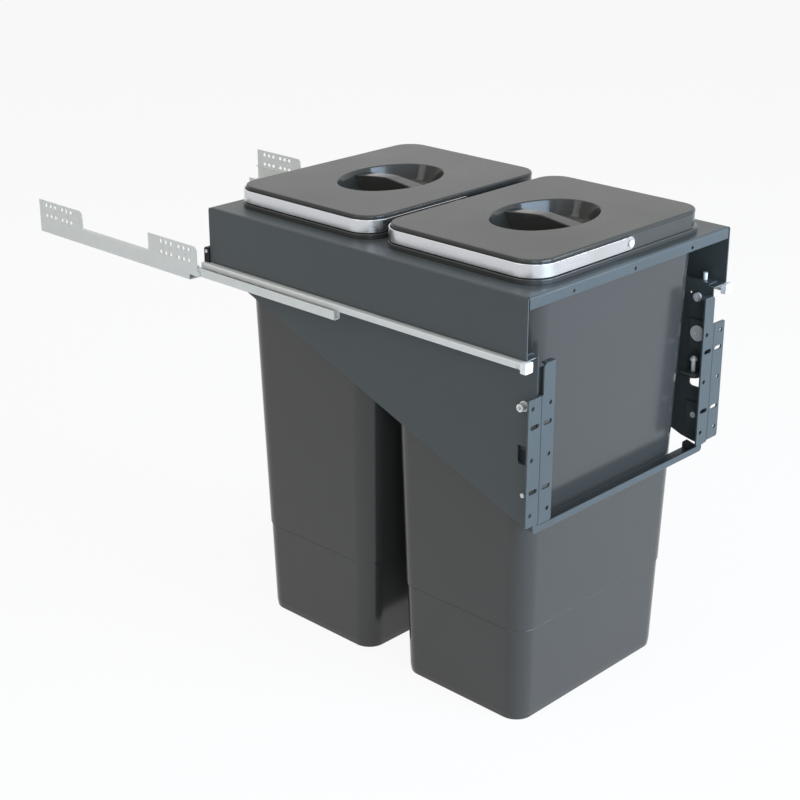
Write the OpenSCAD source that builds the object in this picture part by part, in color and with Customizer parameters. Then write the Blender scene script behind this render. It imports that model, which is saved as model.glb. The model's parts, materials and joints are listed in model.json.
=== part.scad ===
// Pull-out waste bin unit for a kitchen base cabinet, drawn out to its open position.
// The modules work in the tray's own frame: x = 0 at mid width, y = 0 at the tray's front
// and z = 0 on the tray's top. The last step moves each piece to the origin below the bins.

/* [Cabinet] */
// Inside width between the two cabinet sides
cabinet_inner_w = 364; // [356:1:400]
// Pitch of the rows of system holes in the cabinet sides
hole_pitch = 32; // [30:0.5:34]
// Distance from the cabinet's front edge to the first system hole
first_hole_setback = 37; // [35:0.5:40]
// Travel of the tray from open to closed
pull_travel = 465; // [440:1:480]

/* [Tray] */
// Gap between a tray side and the cabinet side
tray_side_gap = 12; // [11.5:0.5:13]
// Sheet thickness of the tray
tray_t = 1.5; // [1.2:0.1:2]
// Height of the tray's side skirts
skirt_h = 65; // [60:1:75]
// Height of the turned-down front and rear lips
lip_h = 13; // [10:0.5:16]
// Bend radius of the tray, at the middle of the sheet
tray_bend_r = 2.5; // [2:0.25:4]
// Width of the tray's top between a skirt and a bin
tray_border_w = 30.3; // [29:0.1:34]
// Tray front to the wall of the front bin
tray_front_margin = 18; // [16:0.5:24]
// Wall of the rear bin to the tray's rear edge
tray_rear_margin = 19.3; // [18:0.1:26]
// Gap between the walls of the two bins
bin_gap = 23.4; // [22.6:0.2:40]
// Width of the ledge folded in at the foot of each skirt
ledge_w = 18.5; // [17:0.5:19.5]

/* [Bins] */
// Width of a bin along the travel, at the tray's top
bin_w = 202.4; // [180:0.2:204]
// Depth of a bin below the tray's top
bin_depth = 505; // [400:1:520]
// How much shorter the bin is at its bottom than at the tray's top
bin_draft_l = 25; // [18:0.5:30]
// How much narrower the bin is at its bottom than at the tray's top
bin_draft_w = 28; // [20:0.5:34]
// Corner radius of a bin
bin_corner_r = 25; // [18:1:30]
// Wall thickness of a bin
bin_wall = 2.4; // [2:0.1:3]
// Depth of the step in the bin's wall
step_depth = 392; // [350:1:395]
// Set-back of the wall below the step
step_in = 1.1; // [0.8:0.1:1.5]
// Height of the rim that rests on the tray
rim_h = 5.5; // [4.5:0.1:6]
// Height of the collar above the tray's top
collar_top = 21; // [20.5:0.1:24]

/* [Lids] */
// Overhang of the lid over the bin's wall at its short sides
lid_over_x = 1.8; // [1.8:0.1:2.4]
// Overhang of the lid over the bin's wall at its long sides
lid_over_y = 3.5; // [3:0.1:3.6]
// Thickness of the lid plate
lid_t = 3.7; // [3:0.1:5]
// Corner radius of a lid
lid_corner_r = 27; // [20:1:30]
// Length of the oval finger recess
recess_l = 136; // [124:1:140]
// Width of the oval finger recess
recess_w = 99; // [92:1:104]
// Radius of the recess at its two ends
recess_end_r = 40; // [36:1:44]
// Depth of the recess
recess_depth = 22; // [16:0.5:23]
// How far the recess draws in from its rim to its floor
recess_in = 14; // [10:0.5:18]
// Width of the grip bar at its middle
grip_w = 16.5; // [12:0.5:18]
// Width of the grip bar at its ends
grip_end_w = 18.5; // [18.5:0.5:28]
// Height of the grip bar's crown above the lid
grip_rise = 0.8; // [0:0.1:3]
// Radius of the grip bar's arch
grip_arch_r = 160; // [140:5:220]

/* [Handles] */
// Height of the bail strip
bail_h = 14; // [12:0.2:14.4]
// Thickness of the bail strip
bail_t = 1.8; // [1.2:0.1:2.2]
// Clearance from the lid to the bail
bail_gap = 0.8; // [0.7:0.05:1.2]
// Place of the bail's pivot from mid width
bail_pivot_x = 6; // [0:0.5:20]
// Diameter of the bail's rivets
rivet_d = 5; // [4:0.1:6]

/* [Runners] */
// Sheet thickness of the runner profiles
runner_t = 1.1; // [1:0.05:1.2]
// Height of the cabinet rail between its screw flanges
cabinet_rail_h = 19.5; // [19:0.5:22]
// Height from the foot of the cabinet rail to the top of a screw flange
screw_flange_h = 41.5; // [38:0.5:46]
// Length of the middle rail
middle_rail_l = 372; // [350:1:400]
// Length of the middle rail held in the cabinet rail when open
middle_hold = 151; // [140:1:170]
// Width of the middle rail's channel
middle_rail_w = 9; // [8.6:0.1:9.6]
// Height of the middle rail
middle_rail_h = 10.6; // [10:0.1:10.8]
// Width of the drawer rail under the tray's ledge
drawer_rail_w = 22.7; // [20:0.1:23.6]
// Height of the drawer rail
drawer_rail_h = 7.5; // [7:0.1:7.8]
// Length of a roller carriage
carriage_l = 100; // [80:1:110]
// Diameter of the outer rollers
outer_roller_d = 5; // [4.6:0.1:5]
// Diameter of the inner rollers
inner_roller_d = 7.1; // [6.7:0.1:7.1]

/* [Door frame] */
// Sheet thickness of the side plates
plate_t = 1.5; // [1.2:0.1:2]
// Depth of the side plates below the tray's top
plate_drop = 249.7; // [240:0.5:252]
// Depth of the front frame below the tray's top
frame_drop = 259; // [256:0.5:265]
// Width of each front frame leg
leg_w = 10; // [9:0.5:12]
// Thickness of the door brackets
bracket_t = 2; // [1.6:0.1:2.5]
// Distance from the tray's front to the door's back face
door_gap = 3; // [3:0.1:4]
// Height of the door brackets
bracket_h = 173; // [168:1:175]
// Width of each column of a door bracket
bracket_column_w = 20; // [18:0.5:20.5]
// Diameter of the door bracket's screw holes
door_hole_d = 4.8; // [4:0.1:5.5]
// Length of the door bracket's slots
door_slot_l = 13; // [10:0.5:14]
// Diameter of the height adjuster's thumb wheel
thumb_wheel_d = 20; // [17:0.5:20]

/* [Hidden] */
$fn = 48;

// One overrun for every cut, and the clearances that mating pieces share
overrun = 1;
running_gap = 0.05;
loose_gap = 0.3;
fit_gap = 0.5;

// Places that follow from the driving sizes
cab_half = cabinet_inner_w / 2;
tray_half = cab_half - tray_side_gap;
tray_d = tray_front_margin + 2 * bin_w + bin_gap + tray_rear_margin;
bin_l = 2 * (tray_half - tray_border_w);
bin_foot_l = bin_l - bin_draft_l;
bin_foot_w = bin_w - bin_draft_w;
lid_l = bin_l + 2 * lid_over_x;
lid_w = bin_w + 2 * lid_over_y;
front_bin_y = tray_front_margin + bin_w / 2;
rear_bin_y = front_bin_y + bin_w + bin_gap;
bin_opening_gap = 1;

// Cabinet rail: its two flanges take the system holes and the holes beside them
cabinet_front_y = pull_travel - door_gap;
front_flange_y = cabinet_front_y + first_hole_setback + hole_pitch / 2;
flange_pitches = 7;
rear_flange_y = front_flange_y + flange_pitches * hole_pitch;
flange_short = 39;
flange_long = 48;
flange_corner_r = 6;
cabinet_rail_y0 = front_flange_y - flange_short;
cabinet_rail_y1 = rear_flange_y + flange_short;
cabinet_rail_drop = 3.5;
cabinet_rail_z1 = -skirt_h - cabinet_rail_drop;
cabinet_rail_z0 = cabinet_rail_z1 - cabinet_rail_h;
cabinet_rail_w = 18;
cabinet_lip_h = 5;
cabinet_hem_w = 3.5;
nose_l = 4;
nose_rise = 7;
nose_set = 14;
hole_side_pitch = 9;
hole_row_pitch = 13;
hole_drop = 12;
system_hole_d = 5;
pilot_hole_d = 2;
pilot_offset = 20.5;
runner_bend_r = 1.2;

// Middle rail
middle_side_gap = 0.6;
middle_drop = 5.7;
middle_x1 = cab_half - runner_t - middle_side_gap;
middle_x0 = middle_x1 - middle_rail_w;
middle_z1 = -skirt_h - middle_drop;
middle_z0 = middle_z1 - middle_rail_h;
middle_lip_drop = 2.8;
middle_y0 = cabinet_rail_y0 + middle_hold - middle_rail_l;
middle_y1 = middle_y0 + middle_rail_l;

// Drawer rail and what sits on it
drawer_rail_out = 5.7;
drawer_x1 = tray_half + drawer_rail_out;
drawer_x0 = drawer_x1 - drawer_rail_w;
drawer_z1 = -skirt_h;
drawer_z0 = drawer_z1 - drawer_rail_h;
drawer_foot_w = 10.5;
hook_seat = 9.5;
drawer_y0 = 2.9;
drawer_y1 = tray_d + hook_seat;
rail_notch_y = 5.8;
rail_notch_w = 2;
rail_notch_h = 5;
cap_w = 11.2;
cap_rise = 0.4;
cap_drop = 10.6;
cap_front = 3.8;
cap_front_t = 3.5;
cap_tongue_l = 9;
cap_corner_r = 1.5;
hook_w = 10;
hook_t = 8;
hook_h = 18;
hook_out = 1;
hook_pin_d = 4;
hook_pin_drop = 5;
hook_pin_proud = 1;

// Roller carriages: one at the foot of the middle rail, one inside its channel
outer_carriage_set = 24;
outer_carriage_y0 = cabinet_rail_y0 + outer_carriage_set;
inner_carriage_set = 20;
inner_carriage_y0 = drawer_y1 - inner_carriage_set - carriage_l;
rollers_per_carriage = 5;
outer_z0 = cabinet_rail_z0 + runner_t;
outer_roller_z = (outer_z0 + middle_z0) / 2;
outer_roller_l = 8;
outer_carriage_w = 12;
outer_carriage_h = 2.6;
outer_roller_x = cab_half - runner_t - cabinet_hem_w - outer_carriage_w / 2 + fit_gap;
inner_z0 = middle_z0 + runner_t;
inner_roller_z = (inner_z0 + drawer_z0) / 2;
inner_roller_l = 4;
inner_carriage_w = middle_rail_w - 2 * runner_t - 2 * loose_gap;
inner_carriage_h = 3.4;
inner_roller_x = (middle_x0 + middle_x1) / 2;
roller_gap = 0.4;

// Tray details
corner_relief = 1.6;
relief_depth = 3;
skirt_corner_r = 2;
lip_end_gap = 3;
lip_hole_d = 4;
lip_hole_pitch = 100;
lip_hole_drop = 9;
ledge_x0 = tray_half - ledge_w;
tray_screw_d = 5;
tray_screw_in = 10.5;
tray_screw_set = 20.6;
tray_screw_top = 8;
tray_screw_head_d = 8;
tray_screw_head_h = 2.4;

// Side plates
plate_out = 20;
plate_x1 = tray_half - plate_out;
plate_x0 = plate_x1 - plate_t;
plate_front = 2;
plate_flange_w = 15;
plate_flange_set = 8;
plate_bend_r = 2;
plate_rear_drop = 81;
plate_toe_y = 31.5;
plate_toe_drop = 246.6;
plate_tip_y = 14.6;
notch_y1 = 25;
notch_drop = 164;
notch_h = 20;
notch_corner_r = 4;
plate_hole_d = 2.5;
plate_hole_y = 30.4;
plate_hole_drop = 76.4;
adjuster_tab_l = 20;
adjuster_tab_y0 = 5.5;

// Front frame
frame_front = 3.3;
frame_t = 1.5;
frame_top_drop = 78;
frame_half = plate_x0;
frame_corner_r = 6;
frame_rail_h = 8.5;
frame_shelf_d = 20.7;
frame_bend_r = 1.5;
shelf_end_in = 6;
ear_root_l = 15.7;
ear_root_h = 12;
ear_tip_l = 20.7;
ear_tip_h = 8;

// Door brackets
bracket_top_drop = 72;
bracket_corner_r = 2.5;
neck_corner_r = 5;
neck_in = 2.5;
crease_r = 1.4;
outer_column_drop = 105;
outer_column_h = 138;
web_x1 = plate_x0;
web_x0 = web_x1 - bracket_t;
seam_x = web_x1 - fit_gap;
inner_column_x0 = seam_x - bracket_column_w;
outer_column_x1 = seam_x + bracket_column_w;
hole_offset = 13.35;
slot_offset = 10;
row_drops = [115, 135, 170, 205, 230];
row_is_slot = [false, true, false, true, false];
top_tab_d = 5;
top_tab_w = 14;
top_tab_hole_d = 2.2;
upper_ear_d = 28.5;
upper_ear_top = 105;
upper_ear_h = 34;
lower_ear_d = 26.5;
lower_ear_top = 202;
lower_ear_h = 30;

// Clamp bolt, pivot pin, cam and height adjuster
clamp_y = 17;
clamp_drop = 120.6;
clamp_bolt_d = 5.8;
clamp_head_d = 8.5;
clamp_head_h = 6.5;
clamp_socket_d = 4;
clamp_socket_depth = 3;
clamp_washer_d = 11.2;
clamp_washer_t = 1.2;
clamp_nut_d = 18;
clamp_nut_t = 1.2;
clamp_nut_ring_d = 10;
clamp_nut_ring_t = 0.4;
pivot_y = 16;
pivot_drop = 217.3;
pivot_d = 5;
pivot_proud = 1.5;
pivot_collar_d = 7;
pivot_collar_l = 0.8;
cam_y = 20.3;
cam_drop = 79.3;
cam_d = 9.7;
cam_t = 3.4;
cam_axle_d = 5;
cam_bore_d = 6.2;
cam_bore_shift = 1.2;
cam_bore_depth = 2.6;
adjuster_in = 8.5;
adjuster_x = plate_x0 - adjuster_in;
adjuster_y = 15.5;
adjuster_d = 5;
adjuster_top_drop = 145;
adjuster_foot_l = 2;
adjuster_head_d = 8.6;
adjuster_head_h = 5;
thumb_wheel_drop = 164.5;
thumb_wheel_t = 3.5;
thumb_wheel_grooves = 24;
thumb_groove_d = 1.2;

// Bins, lids and bails
rim_over_x = 5.4;
rim_over_y = 6.6;
rim_edge = 1.2;
collar_over_x = 1.8;
collar_over_y = 3;
foot_edge = 3;
foot_edge_in = 2;
plug_gap = 0.6;
plug_t = 2.2;
plug_drop = 3;
lid_edge = 1.2;
recess_wall = 2.4;
arc_steps = 14;
corner_steps = 10;
recess_in_shares = [0, 0.08, 0.22, 0.4, 0.55, 0.78, 1];
recess_z_shares = [0, 0.02, 0.1, 0.62, 0.83, 0.96, 1];
bail_lift = 0.6;
arm_y0 = lid_w / 2 + bail_gap;
arm_x0 = lid_l / 2 + bail_gap;
pivot_z = (collar_top + rim_h + bail_lift) / 2;
bail_z0 = pivot_z - bail_h / 2;
boss_d = 11;
rivet_head_d = 7.6;
rivet_head_h = 1.2;
rivet_inner_l = 1.5;

steel_grey = [0.31, 0.33, 0.34];
zinc_grey = [0.72, 0.73, 0.72];
bin_grey = [0.30, 0.30, 0.29];
lid_grey = [0.40, 0.40, 0.39];
band_grey = [0.75, 0.76, 0.77];
cap_white = [0.93, 0.93, 0.93];
dark_plastic = [0.10, 0.10, 0.10];
screw_grey = [0.62, 0.63, 0.64];

// From the tray's own frame to the origin under the middle of the whole unit
module placed() {
    overall_mid_y = (cabinet_rail_y1 - cap_front) / 2;
    translate([0, -overall_mid_y, bin_depth]) children();
}

// A piece on one side of the unit: side is 1 on the right and -1 on the left
module on_side(side) {
    if (side > 0) children();
    else mirror([1, 0, 0]) children();
}

// Both sides at once, for pieces that share one node
module both_sides() {
    for (side = [-1, 1]) on_side(side) children();
}

// An outline in x and z, run along y
module along_y(from, to) {
    translate([0, to, 0]) rotate([90, 0, 0]) linear_extrude(to - from) children();
}

// An outline in y and z, run along x
module along_x(from, to) {
    translate([from, 0, 0]) rotate([90, 0, 90]) linear_extrude(to - from) children();
}

// A straight stretch of sheet between two points of its middle line
module sheet_bar(from, to, t) {
    d = to - from;
    translate(from) rotate(atan2(d.y, d.x)) translate([0, -t / 2]) square([norm(d), t]);
}

// The quarter ring of a bend at b, between the stretches to a and to c
module sheet_bend(a, b, c, t, r) {
    u = (a - b) / norm(a - b);
    v = (c - b) / norm(c - b);
    centre = b + r * (u + v);
    reach = r + t;
    intersection() {
        translate(centre) difference() {
            circle(r + t / 2);
            circle(r - t / 2);
        }
        polygon([centre, centre - reach * u, centre - reach * (u + v), centre - reach * v]);
    }
}

// The section of a folded sheet whose middle line turns by right angles, with rounded bends
module folded_sheet(line, t, r) {
    last = len(line) - 1;
    for (i = [0 : last - 1]) {
        d = (line[i + 1] - line[i]) / norm(line[i + 1] - line[i]);
        sheet_bar(line[i] + (i > 0 ? r : 0) * d, line[i + 1] - (i < last - 1 ? r : 0) * d, t);
    }
    for (i = [1 : last - 1]) sheet_bend(line[i - 1], line[i], line[i + 1], t, r);
}

// A rectangle with rounded corners, centred
module rounded_rect(l, w, r) {
    square([l, w - 2 * r], center = true);
    square([l - 2 * r, w], center = true);
    for (x = [-1, 1], y = [-1, 1]) translate([x * (l / 2 - r), y * (w / 2 - r)]) circle(r);
}

// What a rounded corner takes away at the origin, for a shape that lies at +x and +y
module corner_cut(r) {
    difference() {
        translate([-overrun, -overrun]) square(r + overrun);
        translate([r, r]) circle(r);
    }
}

// A round slot, centred, its length along the first axis
module slot_outline(l, d) {
    square([l - d, d], center = true);
    for (x = [-1, 1]) translate([x * (l - d) / 2, 0]) circle(d = d);
}

// A cylinder along x between two places
module pin_x(from, to, d, y, z) {
    translate([from, y, z]) rotate([0, 90, 0]) cylinder(h = to - from, d = d);
}

// A bore along x through what lies between two places, wide enough for a pin of diameter d
module bore_x(from, to, d, y, z) {
    pin_x(from - overrun, to + overrun, d + 2 * running_gap, y, z);
}

// A cylinder along y between two places
module pin_y(from, to, d, x, z) {
    translate([x, to, z]) rotate([90, 0, 0]) cylinder(h = to - from, d = d);
}

// Runners

// The system holes of one screw flange, drilled along x
module flange_holes(centre_y) {
    row_z = cabinet_rail_z0 + screw_flange_h - hole_drop;
    from = cab_half - runner_t - overrun;
    to = cab_half + overrun;
    for (group = [-1, 1], i = [-1, 0, 1], row = [-1, 1]) {
        y = centre_y + group * hole_pitch / 2 + i * hole_side_pitch;
        pin_x(from, to, system_hole_d, y, row_z + row * hole_row_pitch / 2);
    }
    for (end = [-1, 1]) pin_x(from, to, pilot_hole_d, centre_y + end * pilot_offset, row_z);
}

// One screw flange: the upper front corner is rounded
module screw_flange(from, to) {
    z0 = cabinet_rail_z1 - runner_t;
    top = cabinet_rail_z0 + screw_flange_h;
    along_x(cab_half - runner_t, cab_half) difference() {
        translate([from, z0]) square([to - from, top - z0]);
        translate([from, top]) mirror([0, 1]) corner_cut(flange_corner_r);
    }
}

module cabinet_rail() {
    web_x = cab_half - runner_t / 2;
    foot_z = cabinet_rail_z0 + runner_t / 2;
    lip_x = cab_half - cabinet_rail_w + runner_t / 2;
    hem_z = cabinet_rail_z1 - runner_t / 2;
    difference() {
        union() {
            along_y(cabinet_rail_y0 + nose_set, cabinet_rail_y1)
                folded_sheet([[lip_x, cabinet_rail_z0 + cabinet_lip_h], [lip_x, foot_z], [web_x, foot_z],
                    [web_x, cabinet_rail_z1 - nose_rise]], runner_t, runner_bend_r);
            along_y(cabinet_rail_y0, cabinet_rail_y1)
                folded_sheet([[web_x, cabinet_rail_z0 + nose_rise], [web_x, hem_z],
                    [web_x - cabinet_hem_w, hem_z]], runner_t, runner_bend_r);
            along_y(cabinet_rail_y0 - nose_l, cabinet_rail_y0)
                translate([cab_half - runner_t, cabinet_rail_z0 + nose_rise])
                    square([runner_t, cabinet_rail_h - 2 * nose_rise]);
            screw_flange(cabinet_rail_y0, front_flange_y + flange_long);
            screw_flange(rear_flange_y - flange_long, cabinet_rail_y1);
        }
        flange_holes(front_flange_y);
        flange_holes(rear_flange_y);
    }
}

module middle_rail() {
    wall_x = middle_x1 - runner_t / 2;
    foot_z = middle_z0 + runner_t / 2;
    lip_x = middle_x0 + runner_t / 2;
    along_y(middle_y0, middle_y1)
        folded_sheet([[wall_x, middle_z1], [wall_x, foot_z], [lip_x, foot_z],
            [lip_x, middle_z1 - middle_lip_drop]], runner_t, runner_bend_r);
}

// The bores for the tray's screws through a sheet between two heights
module tray_screw_holes(z0, z1) {
    for (y = tray_screw_places()) translate([tray_half - tray_screw_in, y, z0 - overrun])
        cylinder(h = z1 - z0 + 2 * overrun, d = tray_screw_d + 2 * running_gap);
}

module drawer_rail() {
    top_z = drawer_z1 - runner_t / 2;
    wall_x = drawer_x1 - runner_t / 2;
    foot_z = drawer_z0 + runner_t / 2;
    difference() {
        along_y(drawer_y0, drawer_y1)
            folded_sheet([[drawer_x0, top_z], [wall_x, top_z], [wall_x, foot_z],
                [drawer_x1 - drawer_foot_w, foot_z]], runner_t, runner_bend_r);
        tray_screw_holes(drawer_z1 - runner_t, drawer_z1);
        translate([drawer_x1 - runner_t - overrun, rail_notch_y, drawer_z0 - overrun])
            cube([runner_t + 2 * overrun, rail_notch_w, rail_notch_h + overrun]);
    }
}

// White cap on the front of the drawer rail, with a tongue inside the profile
module rail_end_cap() {
    x0 = drawer_x1 - cap_w;
    z0 = drawer_z1 - cap_drop;
    along_y(-cap_front, -cap_front + cap_front_t) difference() {
        translate([x0, z0]) square([cap_w, cap_drop + cap_rise]);
        translate([x0, z0]) corner_cut(cap_corner_r);
        translate([x0, drawer_z1 + cap_rise]) mirror([0, 1]) corner_cut(cap_corner_r);
    }
    along_y(-cap_front + cap_front_t, drawer_y0) translate([x0, z0]) square([cap_w, cap_drop]);
    tongue_w = cap_w - 2 * runner_t - 2 * loose_gap - runner_bend_r;
    along_y(drawer_y0, drawer_y0 + cap_tongue_l)
        translate([drawer_x1 - runner_t - loose_gap - tongue_w, drawer_z0 + runner_t + loose_gap])
            square([tongue_w, drawer_rail_h - 2 * runner_t - 2 * loose_gap]);
}

// Dark hook behind the tray: a block with a rounded top, standing on the drawer rail
module rear_hook() {
    x1 = tray_half + hook_out;
    top = drawer_z1 + hook_h;
    mid_y = drawer_y1 - hook_t / 2;
    difference() {
        along_x(x1 - hook_w, x1) union() {
            translate([drawer_y1 - hook_t, drawer_z1]) square([hook_t, hook_h - hook_t / 2]);
            translate([mid_y, top - hook_t / 2]) circle(d = hook_t);
        }
        bore_x(x1 - hook_w, x1, hook_pin_d, mid_y, top - hook_pin_drop);
    }
}

module hook_pin() {
    x1 = tray_half + hook_out;
    pin_x(x1 - hook_w - hook_pin_proud, x1 + hook_pin_proud, hook_pin_d, drawer_y1 - hook_t / 2,
        drawer_z1 + hook_h - hook_pin_drop);
}

// The places of the rollers along a carriage that starts at y0
function roller_places(y0) = [for (i = [0 : rollers_per_carriage - 1])
    y0 + carriage_l * (2 * i + 1) / (2 * rollers_per_carriage)];

// A flat plastic strip with one window for each roller
module carriage(y0, x, z, w, h, roller_d, roller_l) {
    difference() {
        translate([x - w / 2, y0, z - h / 2]) cube([w, carriage_l, h]);
        for (y = roller_places(y0))
            pin_x(x - roller_l / 2 - roller_gap, x + roller_l / 2 + roller_gap, roller_d + 2 * roller_gap,
                y, z);
    }
}

module rollers(y0, x, z, d, l) {
    for (y = roller_places(y0)) pin_x(x - l / 2, x + l / 2, d, y, z);
}

module outer_carriage() {
    carriage(outer_carriage_y0, outer_roller_x, outer_roller_z, outer_carriage_w, outer_carriage_h,
        outer_roller_d, outer_roller_l);
}

module outer_rollers() {
    rollers(outer_carriage_y0, outer_roller_x, outer_roller_z, outer_roller_d, outer_roller_l);
}

module inner_carriage() {
    carriage(inner_carriage_y0, inner_roller_x, inner_roller_z, inner_carriage_w, inner_carriage_h,
        inner_roller_d, inner_roller_l);
}

module inner_rollers() {
    rollers(inner_carriage_y0, inner_roller_x, inner_roller_z, inner_roller_d, inner_roller_l);
}

// Tray

// The screws stand near both ends of the ledge and at its middle
function tray_screw_places() = [tray_screw_set, tray_d / 2, tray_d - tray_screw_set];

// The section of the tray in x and z: top, skirts and ledges
module tray_section() {
    skirt_x = tray_half - tray_t / 2;
    ledge_z = -skirt_h + tray_t / 2;
    folded_sheet([[-ledge_x0, ledge_z], [-skirt_x, ledge_z], [-skirt_x, -tray_t / 2],
        [skirt_x, -tray_t / 2], [skirt_x, ledge_z], [ledge_x0, ledge_z]], tray_t, tray_bend_r);
}

// The turned-down lip at y = 0, in y and z
module lip_section() {
    folded_sheet([[tray_bend_r + tray_t, -tray_t / 2], [tray_t / 2, -tray_t / 2], [tray_t / 2, -lip_h]],
        tray_t, tray_bend_r);
}

// Where the lip's bend replaces the flat top
module lip_room() {
    half = tray_half - lip_end_gap;
    depth = tray_bend_r + tray_t;
    translate([-half, -overrun, -lip_h - overrun]) cube([2 * half, depth + overrun, lip_h + 2 * overrun]);
    for (side = [-1, 1])
        translate([side * (half + corner_relief / 2) - corner_relief / 2, -overrun, -tray_t - overrun])
            cube([corner_relief, relief_depth + overrun, tray_t + 2 * overrun]);
}

module bin_opening() {
    gap = bin_opening_gap;
    translate([0, 0, -tray_t - overrun]) linear_extrude(tray_t + 2 * overrun)
        rounded_rect(bin_l + 2 * gap, bin_w + 2 * gap, bin_corner_r + gap);
}

module tray() {
    half = tray_half - lip_end_gap;
    difference() {
        union() {
            difference() {
                along_y(0, tray_d) tray_section();
                lip_room();
                translate([0, tray_d, 0]) mirror([0, 1, 0]) lip_room();
                along_x(-tray_half - overrun, tray_half + overrun) {
                    translate([0, -skirt_h]) corner_cut(skirt_corner_r);
                    translate([tray_d, -skirt_h]) mirror([1, 0]) corner_cut(skirt_corner_r);
                }
            }
            along_x(-half, half) lip_section();
            translate([0, tray_d, 0]) mirror([0, 1, 0]) along_x(-half, half) lip_section();
        }
        translate([0, front_bin_y, 0]) bin_opening();
        translate([0, rear_bin_y, 0]) bin_opening();
        for (x = [-lip_hole_pitch, 0, lip_hole_pitch])
            pin_y(-overrun, tray_t + overrun, lip_hole_d, x, -lip_hole_drop);
        both_sides() tray_screw_holes(-skirt_h, -skirt_h + tray_t);
    }
}

// Screws from below through drawer rail, ledge and side plate flange
module tray_screw() {
    foot_z = drawer_z1 - runner_t;
    tip_z = -skirt_h + tray_t + plate_t + tray_screw_top;
    for (y = tray_screw_places()) translate([tray_half - tray_screw_in, y, 0]) {
        translate([0, 0, foot_z]) cylinder(h = tip_z - foot_z, d = tray_screw_d);
        translate([0, 0, foot_z - tray_screw_head_h])
            cylinder(h = tray_screw_head_h, d = tray_screw_head_d);
    }
}

// Side plates, front frame and door brackets

// The outline of a side plate in y and z, with its flange on the ledge at the top
module plate_outline() {
    flange_z1 = -skirt_h + tray_t + plate_t;
    polygon([[plate_flange_set, flange_z1], [plate_flange_set, -skirt_h], [plate_front, -skirt_h],
        [plate_front, -plate_drop], [plate_tip_y, -plate_drop], [plate_toe_y, -plate_toe_drop],
        [tray_d, -plate_rear_drop], [tray_d, -skirt_h], [tray_d - plate_flange_set, -skirt_h],
        [tray_d - plate_flange_set, flange_z1]]);
}

// The notch in the plate's front edge, through which a finger reaches the thumb wheel
module plate_notch() {
    difference() {
        translate([-overrun, -notch_drop - notch_h]) square([notch_y1 + overrun, notch_h]);
        translate([notch_y1, -notch_drop - notch_h]) mirror([1, 0]) corner_cut(notch_corner_r);
    }
}

module side_plate() {
    mid_x = plate_x1 - plate_t / 2;
    flange_z = -skirt_h + tray_t + plate_t / 2;
    difference() {
        union() {
            intersection() {
                along_y(0, tray_d)
                    folded_sheet([[mid_x, -plate_drop - overrun], [mid_x, flange_z],
                        [mid_x + plate_flange_w, flange_z]], plate_t, plate_bend_r);
                along_x(plate_x0 - overrun, tray_half) plate_outline();
            }
            // The tab that carries the height adjuster is lanced from the notch
            translate([plate_x0 - adjuster_tab_l, adjuster_tab_y0, -notch_drop])
                cube([adjuster_tab_l + plate_t / 2, notch_y1 - adjuster_tab_y0, plate_t]);
        }
        along_x(plate_x0 - overrun, plate_x1 + overrun) plate_notch();
        tray_screw_holes(flange_z - plate_t / 2, flange_z + plate_t / 2);
        pin_x(plate_x0 - overrun, plate_x1 + overrun, plate_hole_d, plate_hole_y, -plate_hole_drop);
        bore_x(plate_x0, plate_x1, clamp_bolt_d, clamp_y, -clamp_drop);
        bore_x(plate_x0, plate_x1, pivot_d, pivot_y, -pivot_drop);
        bore_x(plate_x0, plate_x1, cam_axle_d, cam_y, -cam_drop);
        translate([adjuster_x, adjuster_y, -notch_drop - overrun])
            cylinder(h = plate_t + 2 * overrun, d = adjuster_d + 2 * running_gap);
    }
}

// The front face of the U frame in x and z, with slots for the ears of the brackets
module frame_face() {
    difference() {
        translate([-frame_half, -frame_drop + frame_bend_r])
            square([2 * frame_half, frame_drop - frame_top_drop - frame_bend_r]);
        translate([-frame_half + leg_w, -frame_drop + frame_rail_h])
            square([2 * (frame_half - leg_w), frame_drop]);
        for (side = [0, 1]) mirror([side, 0]) {
            translate([frame_half, -frame_drop]) mirror([1, 0]) corner_cut(frame_corner_r);
            translate([web_x0 - fit_gap, -upper_ear_top - upper_ear_h - fit_gap])
                square([bracket_t + 2 * fit_gap, upper_ear_h + 2 * fit_gap]);
            translate([web_x0 - fit_gap, -lower_ear_top - lower_ear_h - fit_gap])
                square([bracket_t + 2 * fit_gap, lower_ear_h + 2 * fit_gap]);
        }
    }
}

module front_frame() {
    shelf_half = frame_half - shelf_end_in;
    shelf_z = -frame_drop + frame_t / 2;
    along_y(frame_front, frame_front + frame_t) frame_face();
    along_x(-shelf_half, shelf_half)
        folded_sheet([[frame_front + frame_t / 2, -frame_drop + frame_rail_h],
            [frame_front + frame_t / 2, shelf_z], [frame_front + frame_shelf_d, shelf_z]],
            frame_t, frame_bend_r);
    // A pointed ear stands up at each end of the shelf
    both_sides() along_x(shelf_half - frame_t, shelf_half)
        polygon([[frame_front + frame_t, -frame_drop + frame_t / 2],
            [frame_front + ear_tip_l, -frame_drop + frame_t / 2],
            [frame_front + ear_tip_l, -frame_drop + ear_tip_h],
            [frame_front + ear_root_l, -frame_drop + ear_root_h],
            [frame_front + frame_t, -frame_drop + frame_rail_h]]);
}

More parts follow.
